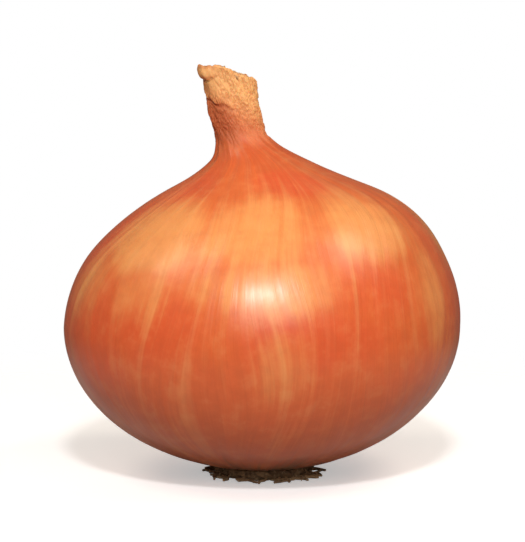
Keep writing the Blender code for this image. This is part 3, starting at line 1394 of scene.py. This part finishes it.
@dataclass
class NeckCore:
    """The shrivelled middle of the neck: a small twisted bundle of dried leaf stumps."""

    skin: PaperySkin
    stumps: int = 7
    radius: float = 0.62 * MM
    columns: int = 14
    rows: int = 9

    def build(self, material: bpy.types.Material) -> bpy.types.Object:
        """Makes the stumps as one piece.

        Args:
            material: Their finish.

        Returns:
            The piece.
        """
        points, faces, grain = [], [], []
        rings = ring_faces(self.rows, self.columns)
        for index in range(self.stumps):
            start = len(points)
            ring_points, ring_grain = self._stump(index)
            points += ring_points
            grain += ring_grain
            faces += [tuple(start + corner for corner in face) for face in rings]
        piece = new_piece("neck_core", points, faces, material)
        write_attribute(piece, "grain", grain)
        return piece

    def _stump(self, index: int) -> tuple[list[Any], list[Any]]:
        """One stump, its rings first and its two ends last.

        Args:
            index: Its number, which also sets where it stands.

        Returns:
            Its points and its grain.
        """
        grown = self.skin.growth
        top = grown.equator + grown.neck_top
        middle = grown.lean_at(np.array(top))
        angle = 2.4 * index
        out = 0.0 if index == 0 else 0.95 * MM
        points, grain = [], []
        for row in range(self.rows):
            share = row / (self.rows - 1)
            lean = out * (1 + 0.25 * share)
            centre_x = float(middle) + lean * math.cos(angle + 0.5 * share)
            centre_y = lean * math.sin(angle + 0.5 * share) * grown.neck_flatness
            drop = float(self.skin.cut_drop(np.array(centre_x - float(middle)), np.array(angle)))
            high = top - drop - 0.9 * MM + 0.35 * MM * math.sin(1.9 * index)
            low = top - drop - self.skin.mouth_depth
            level = low + (high - low) * share
            for column in range(self.columns):
                turn = 2 * math.pi * column / self.columns
                ridge = 1 + 0.22 * math.sin(3 * turn + index + 1.5 * share)
                radius = self.radius * ridge * (1.0 - 0.35 * share**2)
                points.append(
                    (centre_x + radius * math.cos(turn), centre_y + radius * math.sin(turn), level)
                )
                grain.append((math.cos(turn), math.sin(turn), share * 0.8))
        for row, share in ((0, 0.0), (self.rows - 1, 1.0)):
            ring = np.array(points[row * self.columns : (row + 1) * self.columns])
            end = ring.mean(0) + np.array([0.0, 0.0, (share - 0.5) * 0.3 * MM])
            points.append(tuple(end))
            grain.append((0.0, 0.0, share))
        return points, grain


# ---------------------------------------------------------------------------
# The underside
# ---------------------------------------------------------------------------


@dataclass
class RootPlate:
    """The corky plate that the onion rests on: flat below, crumbling round its rim."""

    radius: float
    height: float
    columns: int = 160
    side_rows: int = 18
    flat_rows: int = 22
    overlap: float = 0.35 * MM
    pit_depth: float = 0.22 * MM

    @classmethod
    def of_packed_plate(cls, radius_share: float = 0.64) -> "RootPlate":
        """Reads the plate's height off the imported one, and its width below its roots.

        Args:
            radius_share: The plate's radius over half the width that its roots reach.

        Returns:
            The plate.
        """
        low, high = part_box("root_plate")
        return cls(radius=(high.y - low.y) / 2 * radius_share, height=high.z - low.z)

    def build(self, material: bpy.types.Material) -> bpy.types.Object:
        """Makes the plate, a little way up into the skin that it carries.

        Args:
            material: The plate's finish.

        Returns:
            The finished piece.
        """
        turn = np.linspace(0.0, 2 * math.pi, self.columns, endpoint=False)
        flat = np.linspace(0.0, 0.90, self.flat_rows + 1)[1:]
        side = np.linspace(0.0, 1.0, self.side_rows)
        shares = np.concatenate([flat, 0.90 + 0.10 * np.sin(side * math.pi) ** 0.7 + 0.12 * side])
        levels = np.concatenate([np.zeros(self.flat_rows), side])
        turns, level = np.meshgrid(turn, levels)
        share = np.meshgrid(turn, shares)[1]
        crumble = 0.035 * np.sin(7 * turns + 1.0) + 0.03 * np.sin(13 * turns + 4 * level)
        crumble += 0.025 * np.sin(29 * turns + 9 * level) + 0.02 * np.sin(47 * turns - 13 * level)
        radius = self.radius * share * (1 + crumble * smooth_step(0.5, 0.95, share))
        top = self.height + self.overlap
        height = level * top
        pits = np.sin(9.1 * share * np.cos(turns) * 4) * np.sin(8.3 * share * np.sin(turns) * 4 + 1.0)
        pitted = smooth_step(0.2, 0.8, pits) * (1 - smooth_step(0.80, 0.95, share))
        height += self.pit_depth * pitted
        points = np.stack([radius * np.cos(turns), radius * np.sin(turns), height], -1)
        ends = [(0.0, 0.0, 0.0), (0.0, 0.0, top)]
        places = np.concatenate([points.reshape(-1, 3), ends])
        return new_piece("root_cork", places, ring_faces(len(levels), self.columns), material)


@dataclass
class DriedRoots:
    """The tuft of dried roots that splays out from under the plate."""

    plate: RootPlate
    count: int = 66
    reach: float = 5.6 * MM
    thickness: float = 0.27 * MM
    seed: int = 7

    def build(self, material: bpy.types.Material) -> bpy.types.Object:
        """Grows the roots with Geometry Nodes.

        Args:
            material: Their finish.

        Returns:
            The finished piece.
        """
        piece = new_piece("dried_roots", [], [], material)
        apply_tree(
            piece,
            self._tree(),
            count=self.count,
            plate_radius=self.plate.radius,
            plate_height=self.plate.height,
            reach=self.reach,
            thickness=self.thickness,
            seed=self.seed,
            finish=material,
        )
        return piece

    def _tree(self) -> bpy.types.NodeTree:
        """The tree that lays one tapering, wandering root out from each of a ring of points.

        Returns:
            The Geometry Nodes tree.
        """
        takes = {
            "Nothing": GEOMETRY,
            "Count": WHOLE,
            "Plate Radius": FLOAT,
            "Plate Height": FLOAT,
            "Reach": FLOAT,
            "Thickness": FLOAT,
            "Seed": WHOLE,
            "Finish": MATERIAL,
        }
        wiring, given, end = new_group("dried_roots", "GeometryNodeTree", takes, {"Roots": GEOMETRY})
        points = wiring.node("GeometryNodePoints", {"Count": given["Count"]}).outputs[0]
        number = wiring.node("GeometryNodeInputIndex").outputs[0]
        step = wiring.math("DIVIDE", 2 * math.pi, given["Count"])
        turn = wiring.math("MULTIPLY_ADD", number, step, self._chance(wiring, given, 1, -0.12, 0.12))
        facts = {
            "root_turn": turn,
            "root_reach": self._chance(wiring, given, 2, 0.30, 1.0),
            "root_bend": self._chance(wiring, given, 3, -0.55, 0.55),
            "root_level": self._chance(wiring, given, 4, 0.12, 0.78),
            "root_size": self._chance(wiring, given, 5, 0.55, 1.25),
        }
        for name, value in facts.items():
            points = wiring.store(points, name, value)
        ends = {"Start": (0, 0, 0), "End": (1, 0, 0)}
        line = wiring.node("GeometryNodeCurvePrimitiveLine", ends).outputs[0]
        line = wiring.node("GeometryNodeResampleCurve", {"Curve": line, "Count": 12}).outputs[0]
        each = {"Points": points, "Instance": line}
        rows = wiring.node("GeometryNodeInstanceOnPoints", each).outputs[0]
        lines = wiring.node("GeometryNodeRealizeInstances", {0: rows}).outputs[0]
        laid = self._lay(wiring, given, lines)
        ring = wiring.node(
            "GeometryNodeCurvePrimitiveCircle", {"Resolution": 6, "Radius": given["Thickness"]}
        ).outputs[0]
        tubes = wiring.node(
            "GeometryNodeCurveToMesh", {"Curve": laid, "Profile Curve": ring, "Fill Caps": True}
        ).outputs[0]
        smooth = wiring.node("GeometryNodeSetShadeSmooth", {"Geometry": tubes}).outputs[0]
        wiring.dress(smooth, given["Finish"], end.inputs["Roots"])
        return wiring.tree

    @staticmethod
    def _chance(wiring: Wiring, given: Any, offset: int, low: float, high: float) -> Any:
        """A random number for each root, the same in every run.

        Args:
            wiring: The tree's wiring.
            given: The tree's inputs.
            offset: Which of the root's random numbers this is.
            low: The least that it can be.
            high: The most that it can be.

        Returns:
            The number.
        """
        seed = wiring.math("ADD", given["Seed"], float(offset * 17))
        made = wiring.node("FunctionNodeRandomValue", data_type="FLOAT")
        for socket in made.inputs:
            if socket.enabled and socket.name in ("Min", "Max", "Seed"):
                wiring.feed(socket, {"Min": low, "Max": high, "Seed": seed}[socket.name])
        return next(socket for socket in made.outputs if socket.enabled)

    @staticmethod
    def _lay(wiring: Wiring, given: Any, lines: Any) -> Any:
        """Lays each line out from the plate's rim and thins it towards its tip.

        Args:
            wiring: The tree's wiring.
            given: The tree's inputs.
            lines: The straight lines, one for each root.

        Returns:
            The laid curves.
        """
        names = ("root_turn", "root_reach", "root_bend", "root_level", "root_size")
        fact = {name: wiring.read(name) for name in names}
        share = wiring.node("GeometryNodeSplineParameter").outputs[0]
        length = wiring.math("MULTIPLY", fact["root_reach"], given["Reach"])
        inside = wiring.math("MULTIPLY", given["Plate Radius"], 0.86)
        out = wiring.math("MULTIPLY_ADD", share, length, inside)
        bend = wiring.math("MULTIPLY", fact["root_bend"], wiring.math("POWER", share, 1.6))
        phase = wiring.math("MULTIPLY", fact["root_turn"], 5.0)
        wriggle = wiring.math("SINE", wiring.math("MULTIPLY_ADD", share, 9.0, phase))
        wriggle = wiring.math("MULTIPLY", wriggle, wiring.math("MULTIPLY", share, 0.06))
        turn = wiring.math("ADD", fact["root_turn"], wiring.math("ADD", bend, wriggle))
        thick = wiring.math("MULTIPLY", given["Thickness"], fact["root_size"])
        start = wiring.math("MULTIPLY", given["Plate Height"], fact["root_level"])
        fall = wiring.math("SUBTRACT", 1.0, wiring.remap(share, 0.0, 0.75))
        lift = wiring.math("MULTIPLY", wiring.math("SINE", wiring.math("MULTIPLY", share, 7.0)), 0.22 * MM)
        height = wiring.math("MULTIPLY_ADD", start, fall, wiring.math("ABSOLUTE", lift))
        height = wiring.math("MAXIMUM", height, wiring.math("MULTIPLY", thick, 1.5))
        across = wiring.math("MULTIPLY", out, wiring.math("COSINE", turn))
        deep = wiring.math("MULTIPLY", out, wiring.math("SINE", turn))
        place = wiring.node("ShaderNodeCombineXYZ", {0: across, 1: deep, 2: height}).outputs[0]
        laid = wiring.node("GeometryNodeSetPosition", {"Geometry": lines, "Position": place}).outputs[0]
        taper = wiring.math("MULTIPLY", fact["root_size"], wiring.remap(share, 0.1, 1.0, 1.0, 0.35))
        return wiring.node("GeometryNodeSetCurveRadius", {"Curve": laid, "Radius": taper}).outputs[0]


# ---------------------------------------------------------------------------
# Floor, light and camera
# ---------------------------------------------------------------------------


@dataclass(frozen=True)
class SoftBox:
    """A rectangular light that faces the onion, and may be kept out of its reflections.

    Its azimuth and elevation are in degrees, from the front and from level, positive towards +X
    and upwards. Its power is in watts.
    """

    name: str
    azimuth: float
    elevation: float
    distance: float
    width: float
    height: float
    power: float
    colour: Colour = (1.0, 1.0, 1.0)
    mirrored: bool = True

    def hang(self, aim: Vector) -> None:
        """Puts the light up.

        Args:
            aim: The point that it faces.
        """
        light = bpy.data.lights.new(self.name, "AREA")
        light.shape = "RECTANGLE"
        light.size = self.width
        light.size_y = self.height
        light.energy = self.power
        light.color = self.colour
        stand = bpy.data.objects.new(self.name, light)
        around, up = math.radians(self.azimuth), math.radians(self.elevation)
        back = Vector((math.sin(around) * math.cos(up), -math.cos(around) * math.cos(up), math.sin(up)))
        stand.location = aim + back * self.distance
        stand.rotation_euler = (-back).to_track_quat("-Z", "Y").to_euler()
        stand.visible_glossy = self.mirrored
        bpy.context.scene.collection.objects.link(stand)


@dataclass
class Studio:
    """A pale floor that fades into white, soft lights, and a long lens just above the onion's middle."""

    middle: Vector
    lens: float = 150.0
    distance: float = 0.485
    elevation: float = 5.5
    ambient: float = 0.12
    floor_radius: float = 0.60
    lights: tuple[SoftBox, ...] = (
        SoftBox("left_softbox", -74.0, 52.0, 0.55, 0.24, 0.22, 0.70, (1.0, 0.86, 0.70)),
        SoftBox("right_softbox", 74.0, 52.0, 0.55, 0.24, 0.22, 0.95, (1.0, 0.86, 0.70)),
        SoftBox("front_light", 1.0, 37.0, 0.75, 0.07, 0.07, 2.80),
        SoftBox("front_fill", 4.0, 24.0, 0.80, 0.50, 0.36, 2.00, (1.0, 0.95, 0.88)),
        SoftBox("back_fill", 180.0, 26.0, 0.90, 0.50, 0.36, 1.20, (1.0, 0.90, 0.78), mirrored=False),
    )

    def build(self) -> None:
        """Sets up the floor, the lights, the world and the camera."""
        bpy.context.scene.view_settings.view_transform = "Standard"
        bpy.context.scene.view_settings.look = "None"
        self._floor()
        self._world()
        self._camera()
        for light in self.lights:
            light.hang(self.middle)

    def _floor(self) -> None:
        """A round pale floor, solid under the onion and gone at its edge."""
        bm = bmesh.new()
        bmesh.ops.create_circle(bm, cap_ends=True, segments=96, radius=self.floor_radius)
        mesh = bpy.data.meshes.new("studio_floor")
        bm.to_mesh(mesh)
        bm.free()
        floor = bpy.data.objects.new("studio_floor", mesh)
        bpy.context.scene.collection.objects.link(floor)
        mesh.materials.append(self._floor_paint())
        floor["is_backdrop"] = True

    def _floor_paint(self) -> bpy.types.Material:
        """Pale paint whose cover fades away from the onion, and which throws less light back at it.

        Returns:
            The material.
        """
        material, wiring, shader = Finish().start("studio_floor")
        place = wiring.node("ShaderNodeTexCoord").outputs["Object"]
        away = wiring.node("ShaderNodeVectorMath", {0: place}, operation="LENGTH").outputs["Value"]
        seen = wiring.node("ShaderNodeLightPath").outputs["Is Camera Ray"]
        paint = wiring.mix(seen, (0.42, 0.42, 0.42), (0.90, 0.90, 0.90))
        wiring.feed(shader.inputs["Base Color"], paint)
        shader.inputs["Emission Color"].default_value = (1.0, 1.0, 1.0, 1.0)
        wiring.feed(shader.inputs["Emission Strength"], wiring.remap(seen, 0.0, 1.0, 0.0, 0.42))
        shader.inputs["Roughness"].default_value = 0.9
        shader.inputs["Specular IOR Level"].default_value = 0.1
        wiring.feed(shader.inputs["Alpha"], wiring.remap(away, 0.06, 0.22, 1.0, 0.0))
        return material

    def _world(self) -> None:
        """White behind the onion, and a dimmer even light on it."""
        world = bpy.data.worlds.new("studio")
        bpy.context.scene.world = world
        world.use_nodes = True
        wiring = Wiring(world.node_tree)
        background = world.node_tree.nodes["Background"]
        seen = wiring.node("ShaderNodeLightPath").outputs["Is Camera Ray"]
        wiring.feed(background.inputs["Color"], wiring.mix(seen, (1.0, 0.86, 0.72), (1.0, 1.0, 1.0)))
        wiring.feed(background.inputs["Strength"], wiring.remap(seen, 0.0, 1.0, self.ambient, 1.0))

    def _camera(self) -> None:
        """A long lens on the onion's middle."""
        lens = bpy.data.cameras.new("camera")
        lens.lens = self.lens
        lens.clip_start = 0.01
        camera = bpy.data.objects.new("camera", lens)
        up = math.radians(self.elevation)
        back = Vector((0.0, -math.cos(up), math.sin(up)))
        camera.location = self.middle + back * self.distance
        camera.rotation_euler = (-back).to_track_quat("-Z", "Y").to_euler()
        bpy.context.scene.collection.objects.link(camera)
        bpy.context.scene.camera = camera


# ---------------------------------------------------------------------------
# The whole onion
# ---------------------------------------------------------------------------


class Slot(Enum):
    """The record's material slots."""

    SKIN = "papery_skin"
    CORK = "root_cork"


@dataclass
class Onion:
    """The whole onion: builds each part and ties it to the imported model."""

    effects: Effects = field(default_factory=Effects)

    def build(self) -> list[bpy.types.Object]:
        """Builds every piece.

        Returns:
            The pieces.
        """
        growth = Growth.of_packed_bulb()
        skin = PaperySkin(growth)
        sheath_finish = DrySheathFinish().make(self.effects)
        outer = skin.build(PaperySkinFinish().make(self.effects))
        self._tie(outer, Slot.SKIN, replaces="bulb")
        inside = NeckSheaths(skin).build(sheath_finish)
        inside.append(NeckCore(skin).build(sheath_finish))
        for piece in inside:
            self._tie(piece, Slot.SKIN)
        plate = RootPlate.of_packed_plate()
        cork = plate.build(RootCorkFinish().make(self.effects))
        self._tie(cork, Slot.CORK, replaces="root_plate")
        roots = DriedRoots(plate).build(DriedRootFinish().make(self.effects))
        self._tie(roots, Slot.CORK)
        return [outer, *inside, cork, roots]

    @staticmethod
    def _tie(piece: bpy.types.Object, slot: Slot, replaces: str | None = None) -> None:
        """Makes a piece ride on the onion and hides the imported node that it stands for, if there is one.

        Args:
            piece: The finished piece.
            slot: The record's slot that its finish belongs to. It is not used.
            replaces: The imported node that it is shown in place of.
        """
        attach(piece, BODY)
        if replaces:
            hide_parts(replaces)


def main() -> None:
    """Builds the onion and its studio."""
    logging.basicConfig(level=logging.INFO, format="%(name)s: %(message)s", stream=sys.stdout)
    packed_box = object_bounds()
    for piece in Onion().build():
        LOG.info("%s: %d faces", piece.name, len(piece.data.polygons))
    low, high = packed_box
    Studio(middle=(low + high) / 2).build()


if __name__ == "__main__":
    main()
